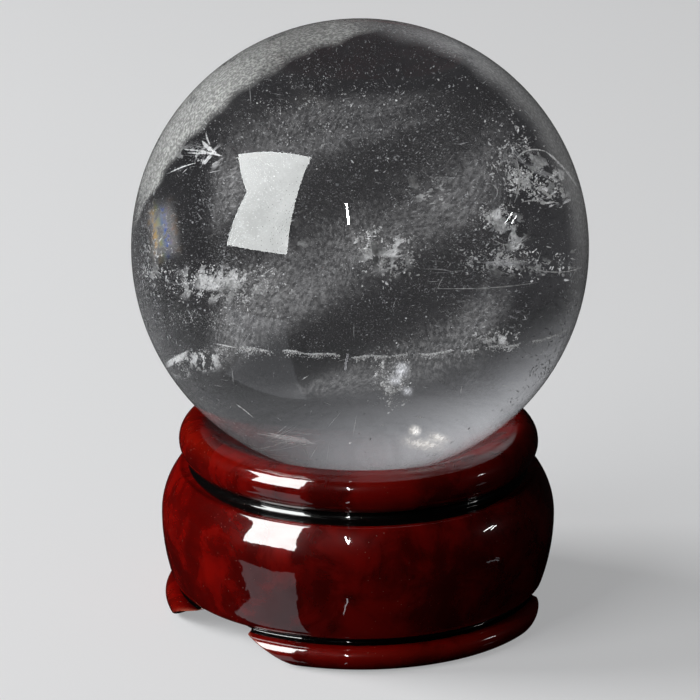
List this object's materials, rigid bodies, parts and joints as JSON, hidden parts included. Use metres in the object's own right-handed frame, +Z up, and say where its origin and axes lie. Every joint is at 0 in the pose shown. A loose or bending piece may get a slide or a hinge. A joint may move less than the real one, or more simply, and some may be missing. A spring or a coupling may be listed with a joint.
{
  "type": "crystal ball on stand",
  "caption": "Solid rock-crystal ball resting in the dished seat of a low, round, red-lacquered wooden stand with arched feet.",
  "frame": {"origin": "on the surface the stand rests on, on the common axis of the stand and the ball", "axes": "+Z up along the stand's turning axis; the front is towards -Y"},
  "size_m": [0.06, 0.06, 0.0797],
  "materials": {
    "red_lacquer": "gloss lacquer",
    "rock_crystal": "polished"
  },
  "bodies": {
    "stand": {"stand": "red_lacquer"},
    "ball": {"crystal_ball": "rock_crystal"}
  },
  "joints": [
    {"name": "ball_lift", "type": "slide", "parent": "stand", "child": "ball", "axis": [0, 0, 1], "range_m": [0, 0.03]}
  ]
}
